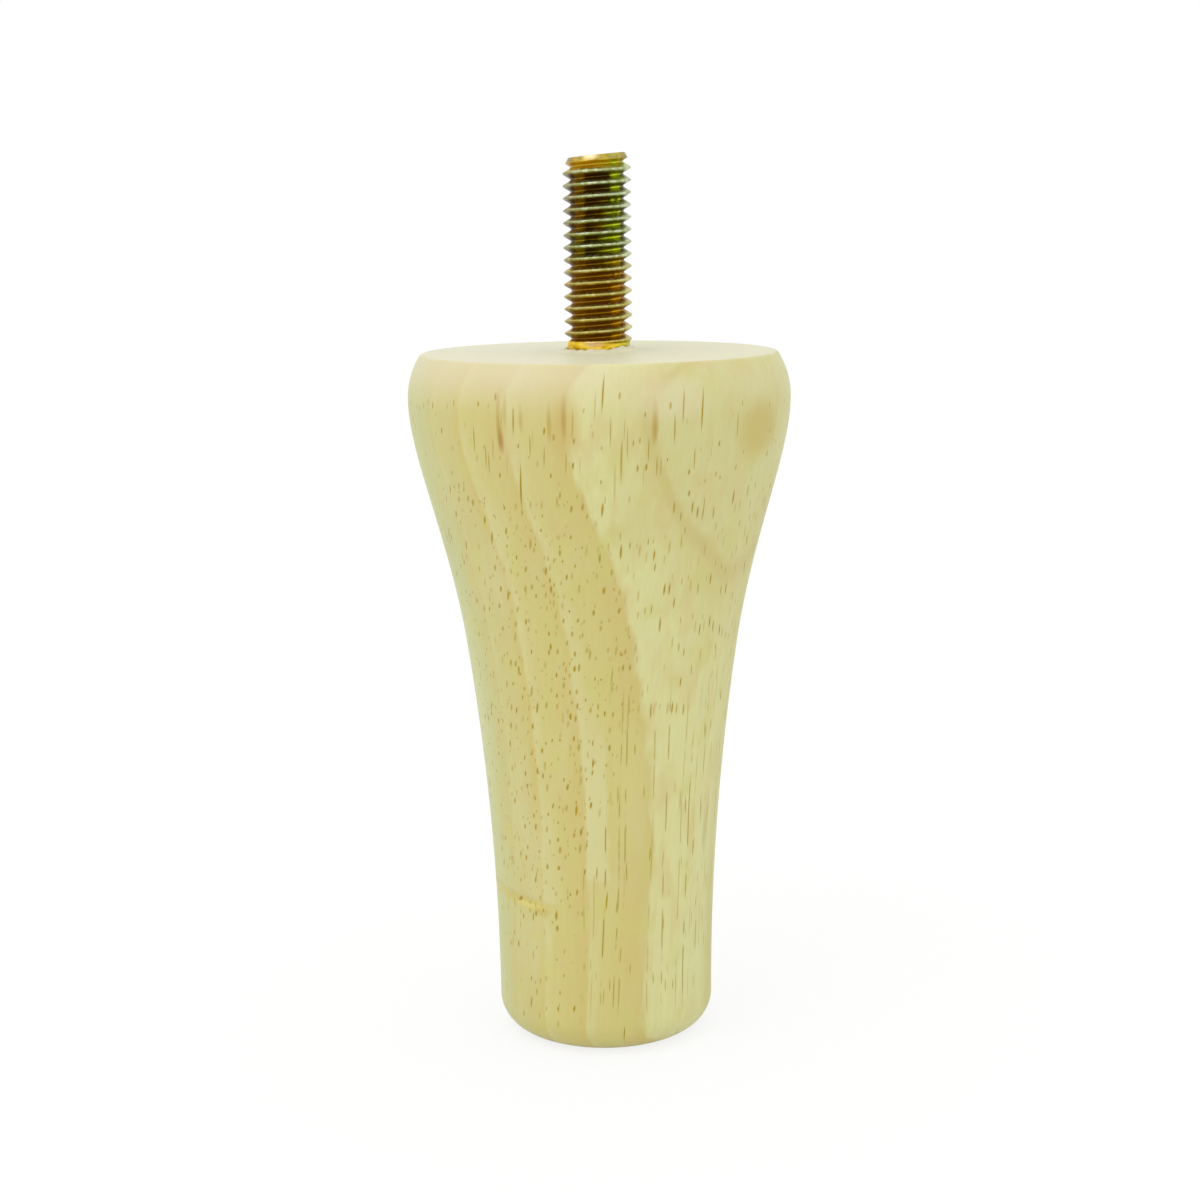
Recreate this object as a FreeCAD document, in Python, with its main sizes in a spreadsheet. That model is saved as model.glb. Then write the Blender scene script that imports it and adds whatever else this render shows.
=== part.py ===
import FreeCAD, Part
import Sketcher
import math
import os
from enum import IntEnum

# A small tapered furniture leg: one piece of turned wood with a hanger bolt in its top end.
# Millimetres. The origin is the centre of the foot's flat, and +Z runs up the turning axis.

# Driving dimensions: name, value, what it measures
SIZES = [
    ("leg_height", 82.5, "foot to top face"),
    ("shoulder_diameter", 45.0, "widest ring, just under the top face"),
    ("shoulder_drop", 5.2, "top face down to the widest ring"),
    ("rim_set_in", 1.6, "how far the corner of the top face lies inside the widest ring"),
    ("rim_edge_radius", 0.6, "eased edge round the top face"),
    ("flare_length", 29.3, "widest ring down to the waist, where the flare runs into the stem"),
    ("shoulder_fullness", 0.234, "flare's curve handle under the widest ring, as a share of its length"),
    ("waist_fullness", 0.452, "flare's curve handle above the waist, as a share of its length"),
    ("waist_diameter", 32.4, "where the flare runs into the stem"),
    ("foot_diameter", 26.0, "foot, above its rounded edge"),
    ("foot_edge_radius", 4.0, "rounded edge of the foot"),
    ("foot_land", 0.2, "straight side left between the stem and the rounded edge"),
    ("bolt_diameter", 7.94, "both threads of the bolt, over their crests"),
    ("stud_projection", 22.9, "what stands above the top face"),
    ("screw_depth", 27.9, "what is driven into the wood, to the tip of its point"),
    ("stud_chamfer", 0.72, "start of the stud's thread, measured across the radius"),
    ("stud_chamfer_angle", 40.0, "degrees between the chamfer and the bolt's axis"),
    ("neck_relief", 0.32, "how far the plain neck lies under the thread crests"),
    ("neck_above", 1.3, "neck that shows above the top face"),
    ("neck_below", 3.0, "neck inside the wood"),
    ("point_length", 6.0, "tapered point of the wood screw"),
    ("bore_spare_depth", 1.5, "bore left empty under the point"),
    ("drill_point_angle", 118.0, "degrees across the bore's drilled end"),
]

# Places on a sketch edge, counted from one: its start, its end and its centre
Place = IntEnum("Place", "START END CENTRE")
START, END, CENTRE = Place
# The sketch's own origin
ORIGIN = (-1, START)
# How closely a ring must match its radius and height
EDGE_MATCH = 1e-4


def make_sheet(doc):
    """Put the driving dimensions into a spreadsheet, one named cell each."""
    sheet = doc.addObject("Spreadsheet::Sheet", "Sizes")
    for row, (alias, value, meaning) in enumerate(SIZES, start=1):
        sheet.set(f"A{row}", meaning)
        sheet.set(f"B{row}", str(value))
        sheet.setAlias(f"B{row}", alias)
    doc.recompute()
    return sheet


def new_sketch(body, name, role):
    """Start a sketch on one of the body's own origin planes."""
    sketch = body.newObject("Sketcher::SketchObject", name)
    plane = next(part for part in body.Origin.OriginFeatures if part.Role == role)
    sketch.AttachmentSupport = [(plane, "")]
    sketch.MapMode = "FlatFace"
    return sketch


def line(sketch, start, end):
    """Draw a straight edge between two points of the sketch."""
    return sketch.addGeometry(Part.LineSegment(FreeCAD.Vector(*start), FreeCAD.Vector(*end)))


def arc(sketch, centre, radius, start_angle, end_angle):
    """Draw an arc, anticlockwise between two angles in radians."""
    circle = Part.Circle(centre, FreeCAD.Vector(0, 0, 1), radius)
    return sketch.addGeometry(Part.ArcOfCircle(circle, start_angle, end_angle))


def tie(sketch, kind, *places):
    """Add a constraint that has no size, such as Coincident or Vertical."""
    sketch.addConstraint(Sketcher.Constraint(kind, *places))


def dimension(sketch, kind, start, end, name, rule):
    """Dimension two sketch points across (DistanceX) or up (DistanceY), and bind it to the sheet."""
    span = sketch.getPoint(*end) - sketch.getPoint(*start)
    value = span.x if kind == "DistanceX" else span.y
    index = sketch.addConstraint(Sketcher.Constraint(kind, *start, *end, value))
    sketch.renameConstraint(index, name)
    sketch.setExpression(f"Constraints.{name}", rule)


def radius(sketch, edge, name, rule):
    """Dimension the radius of an arc or a circle, and bind it to the sheet."""
    index = sketch.addConstraint(Sketcher.Constraint("Radius", edge, sketch.Geometry[edge].Radius))
    sketch.renameConstraint(index, name)
    sketch.setExpression(f"Constraints.{name}", rule)


def close_outline(sketch, edges):
    """Join each edge's end to the start of the next one, and the last to the first."""
    for edge, following in zip(edges, edges[1:] + edges[:1]):
        tie(sketch, "Coincident", edge, END, following, START)


def spin(body, sketch, name):
    """Turn a half outline about the sketch's upright axis."""
    turned = body.newObject("PartDesign::Revolution", name)
    turned.Profile = sketch
    turned.ReferenceAxis = (sketch, ["V_Axis"])
    turned.Angle = 360.0
    return turned


def ring_edge(shape, radius, height):
    """Name of the circular edge with this radius at this height on the axis."""
    for number, edge in enumerate(shape.Edges, start=1):
        curve = edge.Curve
        if not isinstance(curve, Part.Circle):
            continue
        if abs(curve.Radius - radius) < EDGE_MATCH and abs(curve.Center.z - height) < EDGE_MATCH:
            return f"Edge{number}"
    raise RuntimeError(f"no ring of radius {radius} at height {height}")


def make_turned_leg(doc, size):
    """The leg: turned wood, a flare under its widest ring and a slim stem, with a blind bore for the bolt."""
    body = doc.addObject("PartDesign::Body", "TurnedLeg")
    body.Label = "turned_leg"

    shoulder = size("shoulder_diameter") / 2
    rim = shoulder - size("rim_set_in")
    foot = size("foot_diameter") / 2
    top = size("leg_height")
    ring_level = top - size("shoulder_drop")
    waist = size("waist_diameter") / 2
    waist_level = ring_level - size("flare_length")
    land_level = size("foot_edge_radius") + size("foot_land")

    # Half outline, from the axis out along the top face, down the side and back along the sole
    outline = new_sketch(body, "LegOutline", "XZ_Plane")

    # Shoulder arc: centred level with the widest ring, so it is upright there, and aimed at the corner
    set_in = size("rim_set_in")
    arc_radius = (set_in**2 + size("shoulder_drop") ** 2) / (2 * set_in)
    arc_centre = FreeCAD.Vector(shoulder - arc_radius, ring_level, 0)

    # Rim arc: eases that corner, tangent to the shoulder arc and to the top face
    ease = size("rim_edge_radius")
    ease_rise = size("shoulder_drop") - ease
    ease_reach = math.sqrt((arc_radius - ease) ** 2 - ease_rise**2)
    ease_centre = FreeCAD.Vector(arc_centre.x + ease_reach, ring_level + ease_rise, 0)
    meeting_angle = math.atan2(ease_rise, ease_reach)

    axis = line(outline, (0, 0, 0), (0, top, 0))
    top_face = line(outline, (0, top, 0), (ease_centre.x, top, 0))
    rim_arc = arc(outline, ease_centre, ease, meeting_angle, math.pi / 2)
    shoulder_arc = arc(outline, arc_centre, arc_radius, 0, meeting_angle)
    corner = outline.addGeometry(Part.Point(FreeCAD.Vector(rim, top, 0)), True)

    # Stem arc: from the waist down, centred level with its lower end, so it is upright at the foot
    stem_narrowing = waist - foot
    stem_length = waist_level - land_level
    stem_radius = (stem_narrowing**2 + stem_length**2) / (2 * stem_narrowing)
    stem_turn = math.asin(stem_length / stem_radius)
    stem_centre = FreeCAD.Vector(foot + stem_radius, land_level, 0)
    stem = arc(outline, stem_centre, stem_radius, math.pi - stem_turn, math.pi)

    # Flare: a cubic curve, upright at the widest ring and in line with the stem at the waist
    handle_rise = size("waist_fullness") * size("flare_length")
    waist_handle_end = (waist + handle_rise * math.tan(stem_turn), waist_level + handle_rise, 0)
    poles = [
        FreeCAD.Vector(shoulder, ring_level, 0),
        FreeCAD.Vector(shoulder, ring_level - size("shoulder_fullness") * size("flare_length"), 0),
        FreeCAD.Vector(*waist_handle_end),
        FreeCAD.Vector(waist, waist_level, 0),
    ]
    curve = Part.BSplineCurve()
    curve.buildFromPoles(poles, False, len(poles) - 1)
    flare = outline.addGeometry(curve)
    waist_tangent = line(outline, (waist, waist_level, 0), waist_handle_end)
    outline.setConstruction(waist_tangent, True)
    foot_side = line(outline, (foot, land_level, 0), (foot, 0, 0))
    sole = line(outline, (foot, 0, 0), (0, 0, 0))

    # The curve's handle points come straight after the outline's own edges
    first_handle = outline.GeometryCount
    outline.exposeInternalGeometry(flare)
    flare_handles = range(first_handle, first_handle + len(poles))
    ring_handle, upper_handle, lower_handle, waist_handle = flare_handles

    tie(outline, "Coincident", axis, START, *ORIGIN)
    tie(outline, "Coincident", axis, END, top_face, START)
    tie(outline, "Tangent", rim_arc, END, top_face, END)
    tie(outline, "Tangent", shoulder_arc, END, rim_arc, START)
    tie(outline, "Coincident", shoulder_arc, START, flare, START)
    tie(outline, "Coincident", flare, END, stem, START)
    tie(outline, "Coincident", stem, END, foot_side, START)
    tie(outline, "Coincident", foot_side, END, sole, START)
    tie(outline, "Coincident", sole, END, axis, START)
    tie(outline, "Vertical", axis)
    tie(outline, "Horizontal", top_face)
    tie(outline, "Vertical", foot_side)
    tie(outline, "Horizontal", sole)
    tie(outline, "Horizontal", shoulder_arc, CENTRE, shoulder_arc, START)
    tie(outline, "PointOnObject", corner, START, top_face)
    tie(outline, "PointOnObject", corner, START, shoulder_arc)
    tie(outline, "Vertical", ring_handle, CENTRE, upper_handle, CENTRE)
    tie(outline, "Horizontal", stem, CENTRE, stem, END)
    tie(outline, "Tangent", waist_tangent, START, stem, START)
    tie(outline, "Coincident", waist_tangent, END, lower_handle, CENTRE)

    dimension(outline, "DistanceY", (axis, START), (axis, END), "height", "Sizes.leg_height")
    dimension(outline, "DistanceX", (corner, START), (shoulder_arc, START), "set_in", "Sizes.rim_set_in")
    dimension(outline, "DistanceX", ORIGIN, (shoulder_arc, START), "ring", "Sizes.shoulder_diameter / 2")
    dimension(outline, "DistanceY", (shoulder_arc, START), (axis, END), "drop", "Sizes.shoulder_drop")
    radius(outline, rim_arc, "rim_edge", "Sizes.rim_edge_radius")
    dimension(outline, "DistanceX", ORIGIN, (stem, START), "waist", "Sizes.waist_diameter / 2")
    dimension(outline, "DistanceY", (stem, START), (shoulder_arc, START), "flare", "Sizes.flare_length")
    dimension(outline, "DistanceX", ORIGIN, (foot_side, START), "foot", "Sizes.foot_diameter / 2")
    dimension(outline, "DistanceY", (foot_side, END), (foot_side, START), "land",
              "Sizes.foot_edge_radius + Sizes.foot_land")
    dimension(outline, "DistanceY", (upper_handle, CENTRE), (ring_handle, CENTRE), "upper_handle",
              "Sizes.shoulder_fullness * Sizes.flare_length")
    dimension(outline, "DistanceY", (waist_handle, CENTRE), (lower_handle, CENTRE), "lower_handle",
              "Sizes.waist_fullness * Sizes.flare_length")
    turning = spin(body, outline, "Turning")
    doc.recompute()

    # Rounded foot: the sharp ring between the side and the sole is taken off
    foot_edge = body.newObject("PartDesign::Fillet", "FootEdge")
    foot_edge.Base = (turning, [ring_edge(turning.Shape, foot, 0)])
    foot_edge.setExpression("Radius", "Sizes.foot_edge_radius")
    doc.recompute()

    # Blind bore for the bolt, drilled down the axis from the top face
    mark = new_sketch(body, "BoreMark", "XY_Plane")
    mark.setExpression("AttachmentOffset.Base.z", "Sizes.leg_height")
    circle = Part.Circle(FreeCAD.Vector(), FreeCAD.Vector(0, 0, 1), size("bolt_diameter") / 2)
    bore_ring = mark.addGeometry(circle)
    tie(mark, "Coincident", bore_ring, CENTRE, *ORIGIN)
    radius(mark, bore_ring, "bore", "Sizes.bolt_diameter / 2")
    doc.recompute()

    bore = body.newObject("PartDesign::Hole", "BoltBore")
    bore.Profile = mark
    bore.DepthType = "Dimension"
    bore.DrillPoint = "Angled"
    bore.setExpression("Diameter", "Sizes.bolt_diameter")
    bore.setExpression("Depth", "Sizes.screw_depth + Sizes.bore_spare_depth")
    bore.setExpression("DrillPointAngle", "Sizes.drill_point_angle")
    doc.recompute()

    # The bore must take out at least its own straight stretch
    depth = size("screw_depth") + size("bore_spare_depth")
    straight = math.pi * (size("bolt_diameter") / 2) ** 2 * depth
    if foot_edge.Shape.Volume - bore.Shape.Volume < straight:
        raise RuntimeError("the bore does not cut into the leg")
    return body


def make_hanger_bolt(doc, size):
    """The bolt: stud, plain neck and pointed wood screw in one rod, its threads drawn at their crests."""
    body = doc.addObject("PartDesign::Body", "HangerBolt")
    body.Label = "hanger_bolt"
    body.setExpression("Placement.Base.z", "Sizes.leg_height")

    crest = size("bolt_diameter") / 2
    neck = crest - size("neck_relief")
    end = size("stud_projection")
    point = -size("screw_depth")
    end_face = crest - size("stud_chamfer")
    chamfer_level = end - size("stud_chamfer") / math.tan(math.radians(size("stud_chamfer_angle")))

    # Half outline, level zero at the top face of the wood, corner by corner from the stud's end down
    corners = [
        (0, end, 0),
        (end_face, end, 0),
        (crest, chamfer_level, 0),
        (crest, size("neck_above") + size("neck_relief"), 0),
        (neck, size("neck_above"), 0),
        (neck, -size("neck_below"), 0),
        (crest, -size("neck_below") - size("neck_relief"), 0),
        (crest, point + size("point_length"), 0),
        (0, point, 0),
    ]
    outline = new_sketch(body, "BoltOutline", "XZ_Plane")
    edges = [line(outline, start, finish) for start, finish in zip(corners, corners[1:] + corners[:1])]
    close_outline(outline, edges)
    stud_end, chamfer, stud, run_out, neck_side, run_in, screw, cone, axis = edges

    tie(outline, "Vertical", stud_end, START, *ORIGIN)
    tie(outline, "Vertical", axis)
    tie(outline, "Horizontal", stud_end)
    tie(outline, "Vertical", stud)
    tie(outline, "Vertical", neck_side)
    tie(outline, "Vertical", screw)

    # Sizes across, from the axis
    crest_rule = "Sizes.bolt_diameter / 2"
    neck_rule = f"{crest_rule} - Sizes.neck_relief"
    end_rule = f"{crest_rule} - Sizes.stud_chamfer"
    dimension(outline, "DistanceX", ORIGIN, (stud_end, END), "end_face", end_rule)
    dimension(outline, "DistanceX", ORIGIN, (stud, START), "stud_crest", crest_rule)
    dimension(outline, "DistanceX", ORIGIN, (neck_side, START), "neck", neck_rule)
    dimension(outline, "DistanceX", ORIGIN, (screw, START), "screw_crest", crest_rule)

    # Sizes along the axis, up from the top face of the wood or down from it
    dimension(outline, "DistanceY", ORIGIN, (stud_end, START), "projection", "Sizes.stud_projection")
    dimension(outline, "DistanceY", (chamfer, END), (chamfer, START), "chamfer_rise",
              "Sizes.stud_chamfer / tan(Sizes.stud_chamfer_angle * 1 deg)")
    dimension(outline, "DistanceY", ORIGIN, (neck_side, START), "neck_above", "Sizes.neck_above")
    dimension(outline, "DistanceY", (run_out, END), (run_out, START), "run_out", "Sizes.neck_relief")
    dimension(outline, "DistanceY", (neck_side, END), ORIGIN, "neck_below", "Sizes.neck_below")
    dimension(outline, "DistanceY", (run_in, END), (run_in, START), "run_in", "Sizes.neck_relief")
    dimension(outline, "DistanceY", (cone, END), ORIGIN, "depth", "Sizes.screw_depth")
    dimension(outline, "DistanceY", (cone, END), (cone, START), "point", "Sizes.point_length")
    spin(body, outline, "BoltTurning")
    doc.recompute()
    return body


def check(doc, bodies):
    """Stop if any object failed to rebuild or any sub-part is not one sound solid."""
    for item in doc.Objects:
        if "Invalid" in item.State or "Error" in item.State:
            raise RuntimeError(f"{item.Name} did not rebuild: {item.State}")
    for body in bodies:
        shape = body.Shape
        if shape.isNull() or not shape.isValid() or len(shape.Solids) != 1:
            raise RuntimeError(f"{body.Label} is not one valid solid")


document = FreeCAD.newDocument("FurnitureLeg")
sizes = make_sheet(document)
sub_parts = [make_turned_leg(document, sizes.get), make_hanger_bolt(document, sizes.get)]
document.recompute()
check(document, sub_parts)

os.makedirs("parts", exist_ok=True)
for sub_part in sub_parts:
    solid = sub_part.Shape
    solid.exportStep(f"parts/{sub_part.Label}.step")
    print(sub_part.Label, "volume", round(solid.Volume, 1), "box", solid.optimalBoundingBox())
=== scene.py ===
import math

import bpy
from mathutils import Euler, Matrix, Vector


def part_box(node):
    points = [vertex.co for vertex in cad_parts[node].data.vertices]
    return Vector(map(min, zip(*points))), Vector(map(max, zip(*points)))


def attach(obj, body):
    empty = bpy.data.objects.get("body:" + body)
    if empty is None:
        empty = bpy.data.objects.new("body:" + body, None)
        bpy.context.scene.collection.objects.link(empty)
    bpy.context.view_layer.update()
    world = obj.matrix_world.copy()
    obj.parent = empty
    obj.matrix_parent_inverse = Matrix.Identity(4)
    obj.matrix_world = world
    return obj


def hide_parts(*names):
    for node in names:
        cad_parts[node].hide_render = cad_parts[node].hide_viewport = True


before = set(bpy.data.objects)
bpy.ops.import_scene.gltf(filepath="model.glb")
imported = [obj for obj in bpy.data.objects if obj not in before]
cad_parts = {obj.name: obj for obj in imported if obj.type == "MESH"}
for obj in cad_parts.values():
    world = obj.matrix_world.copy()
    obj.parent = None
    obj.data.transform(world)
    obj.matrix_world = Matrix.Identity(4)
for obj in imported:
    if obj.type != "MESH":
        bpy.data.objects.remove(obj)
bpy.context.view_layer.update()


# The turned leg
# One piece of pale hardwood, turned on a lathe from a rounded shoulder to a slim foot, then sanded and left
# bare. A blind hole is drilled down from its top face for the bolt.

MM = 0.001
_, leg_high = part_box("turned_leg")
leg_height = leg_high[2]
ring_radius = leg_high[0]
shoulder_drop = 5.2 * MM
rim_set_in = 1.6 * MM
rim_edge = 0.6 * MM
flare_length = 29.3 * MM
shoulder_handle = 0.234 * flare_length
waist_handle = 0.452 * flare_length
waist_radius = 16.2 * MM
foot_radius = 13.0 * MM
foot_edge = 4.0 * MM
foot_land = 0.2 * MM
bore_radius = 3.97 * MM
bore_depth = 29.4 * MM
drill_half_angle = math.radians(59.0)
drill_point = bore_radius / math.tan(drill_half_angle)


def add(tree, kind, inputs=None, **settings):
    """Add a node; an input is either another node's socket, which is linked, or a plain value."""
    made = tree.nodes.new(kind)
    for name, value in settings.items():
        setattr(made, name, value)
    for key, value in (inputs or {}).items():
        if isinstance(value, bpy.types.NodeSocket):
            tree.links.new(value, made.inputs[key])
        else:
            made.inputs[key].default_value = value
    return made


def sums(tree, operation, *values):
    """One step of arithmetic on numbers."""
    return add(tree, "ShaderNodeMath", dict(enumerate(values)), operation=operation).outputs[0]


def product(tree, first, *others):
    """Multiply numbers together."""
    for other in others:
        first = sums(tree, "MULTIPLY", first, other)
    return first


def off(tree, value, middle):
    """How far a value lies from a middle one, on either side."""
    return sums(tree, "ABSOLUTE", sums(tree, "SUBTRACT", value, middle))


def rest_of(tree, share):
    """What a share leaves of the whole."""
    return sums(tree, "SUBTRACT", 1.0, share)


def vectors(tree, operation, *values):
    """One step of arithmetic on vectors."""
    made = add(tree, "ShaderNodeVectorMath", dict(enumerate(values)), operation=operation)
    return made.outputs["Value" if operation == "LENGTH" else "Vector"]


def ease(tree, value, start, end, low=0.0, high=1.0, kind="SMOOTHSTEP"):
    """Pass smoothly from low to high as the value goes from start to end."""
    inputs = {0: value, 1: start, 2: end, 3: low, 4: high}
    return add(tree, "ShaderNodeMapRange", inputs, interpolation_type=kind).outputs[0]


def point(tree, x, y, z=0.0):
    """Put three numbers together as a point."""
    return add(tree, "ShaderNodeCombineXYZ", {"X": x, "Y": y, "Z": z}).outputs[0]


def split(tree, place):
    """Take a point apart into three numbers."""
    return add(tree, "ShaderNodeSeparateXYZ", {"Vector": place}).outputs


def turn_from_front(tree, x, y):
    """The angle of a place round from the front of the piece."""
    return sums(tree, "ARCTAN2", x, sums(tree, "MULTIPLY", y, -1.0))


def new_tree(name, sizes):
    """Start a node tree with one named input for each size, and return it with the inputs' sockets."""
    tree = bpy.data.node_groups.new(name, "GeometryNodeTree")
    tree.interface.new_socket("Geometry", in_out="OUTPUT", socket_type="NodeSocketGeometry")
    for size in sizes:
        tree.interface.new_socket(size, in_out="INPUT", socket_type="NodeSocketFloat")
    inlet = tree.nodes.new("NodeGroupInput")
    return tree, {size: inlet.outputs[size] for size in sizes}


def finish_tree(tree, geometry, material):
    """End a tree: weld what meets, shade it smooth, make it real and give it its material."""
    weld_distance = 0.0001 * MM
    welded = add(tree, "GeometryNodeMergeByDistance", {"Geometry": geometry, "Distance": weld_distance})
    smooth = add(tree, "GeometryNodeSetShadeSmooth", {"Geometry": welded.outputs[0]})
    real = add(tree, "GeometryNodeRealizeInstances", {"Geometry": smooth.outputs[0]})
    dressed = add(tree, "GeometryNodeSetMaterial", {"Geometry": real.outputs[0], "Material": material})
    add(tree, "NodeGroupOutput", {"Geometry": dressed.outputs[0]})


def run_tree(name, tree, sizes):
    """Run a tree once with these sizes, and return its result as a plain mesh object at the origin."""
    piece = bpy.data.objects.new(name, bpy.data.meshes.new(name))
    bpy.context.scene.collection.objects.link(piece)
    modifier = piece.modifiers.new(name, "NODES")
    modifier.node_group = tree
    for socket in tree.interface.items_tree:
        if socket.in_out == "INPUT":
            modifier[socket.identifier] = sizes[socket.name]
    graph = bpy.context.evaluated_depsgraph_get()
    plain = bpy.data.meshes.new_from_object(piece.evaluated_get(graph))
    for index in reversed(range(len(plain.materials))):
        if plain.materials[index] is None:
            plain.materials.pop(index=index)
    piece.modifiers.remove(modifier)
    piece.data = plain
    return piece


def linear(red, green, blue):
    """A colour given as it shows on a screen, 0 to 255, in the values that shaders take."""
    parts = [part / 255 for part in (red, green, blue)]
    return [p / 12.92 if p <= 0.04045 else ((p + 0.055) / 1.055) ** 2.4 for p in parts] + [1.0]


def in_millimetres(tree):
    """The place on the piece that is being shaded, in millimetres."""
    coordinates = add(tree, "ShaderNodeTexCoord").outputs["Object"]
    return vectors(tree, "MULTIPLY", coordinates, (1 / MM, 1 / MM, 1 / MM))


def around(degrees, height, radius):
    """A place on the leg, in millimetres: an angle round from its front, a height and a radius there."""
    turn = math.radians(degrees)
    return (radius * math.sin(turn), -radius * math.cos(turn), height)


def spot(tree, place, centre, half_sizes, soft):
    """An oval patch, one inside and nought outside; soft is the share of it over which it fades."""
    offset = vectors(tree, "SUBTRACT", place, centre)
    share = vectors(tree, "DIVIDE", offset, half_sizes)
    return ease(tree, vectors(tree, "LENGTH", share), 1.0, 1.0 - soft)


def tint(tree, factor, below, above):
    """Lay one colour over another."""
    colour_a, colour_b, colour_out = 6, 7, 2
    inputs = {"Factor": factor, colour_a: below, colour_b: above}
    return add(tree, "ShaderNodeMix", inputs, data_type="RGBA").outputs[colour_out]


def grain_noise(tree, place, across, along, detail=2.0):
    """Noise drawn out along the fibres: its size across them and along them in millimetres."""
    scaled = vectors(tree, "DIVIDE", place, (across, across, along))
    made = add(tree, "ShaderNodeTexNoise", {"Vector": scaled, "Scale": 1.0, "Detail": detail})
    return made.outputs[0]


def pores(tree, surface, spacing, half_width, share, heights):
    """Open pores: thin ovals on the turned surface, with their spacing across and along it, and the heights
    between which their middles lie."""
    across, along = spacing
    lowest, highest = heights
    scaled = vectors(tree, "DIVIDE", surface, (across, along, 1.0))
    cells = add(tree, "ShaderNodeTexVoronoi", {"Vector": scaled, "Scale": 1.0}, voronoi_dimensions="2D")
    chance = add(tree, "ShaderNodeSeparateColor", {"Color": cells.outputs["Color"]})
    _, middle, _ = split(tree, cells.outputs["Position"])
    above = sums(tree, "GREATER_THAN", middle, lowest / along)
    below = sums(tree, "LESS_THAN", middle, highest / along)
    there = sums(tree, "LESS_THAN", chance.outputs[0], share)
    there = product(tree, there, product(tree, above, below))
    usual = half_width / across
    size = ease(tree, chance.outputs[1], 0.0, 1.0, 0.6 * usual, 1.2 * usual)
    depth = ease(tree, cells.outputs["Distance"], size, product(tree, size, 0.35))
    strength = ease(tree, chance.outputs[2], 0.0, 1.0, 0.35, 1.0)
    return product(tree, depth, there, strength)


def vessels(tree, fibre, height, spacing, half_width, share):
    """Long vessels cut lengthwise: thin lines that keep to the same fibres and are broken into stretches."""
    scaled = sums(tree, "DIVIDE", fibre, spacing)
    cells = add(tree, "ShaderNodeTexVoronoi", {"W": scaled, "Scale": 1.0}, voronoi_dimensions="1D")
    chance = add(tree, "ShaderNodeSeparateColor", {"Color": cells.outputs["Color"]}).outputs
    there = sums(tree, "LESS_THAN", chance[0], share)
    widest = half_width / spacing
    line = ease(tree, cells.outputs["Distance"], widest, 0.3 * widest)
    stretch_length = 4.5
    own_breaks = product(tree, chance[1], 40.0)
    along = point(tree, own_breaks, sums(tree, "DIVIDE", height, stretch_length))
    breaks = {"Vector": along, "Scale": 1.0, "Detail": 2.0}
    stretch = add(tree, "ShaderNodeTexNoise", breaks, noise_dimensions="2D").outputs[0]
    strength = ease(tree, chance[2], 0.0, 1.0, 0.35, 0.95)
    return product(tree, line, there, strength, ease(tree, stretch, 0.42, 0.57))


def ring_ramp(tree, phase, stops):
    """The colours that one growth ring passes through, from its start to its end."""
    node = add(tree, "ShaderNodeValToRGB", {"Fac": phase})
    while len(node.color_ramp.elements) < len(stops):
        node.color_ramp.elements.new(0.5)
    for element, (position, colour) in zip(node.color_ramp.elements, stops):
        element.position = position
        element.color = linear(*colour)
    return node.outputs[0]


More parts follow.
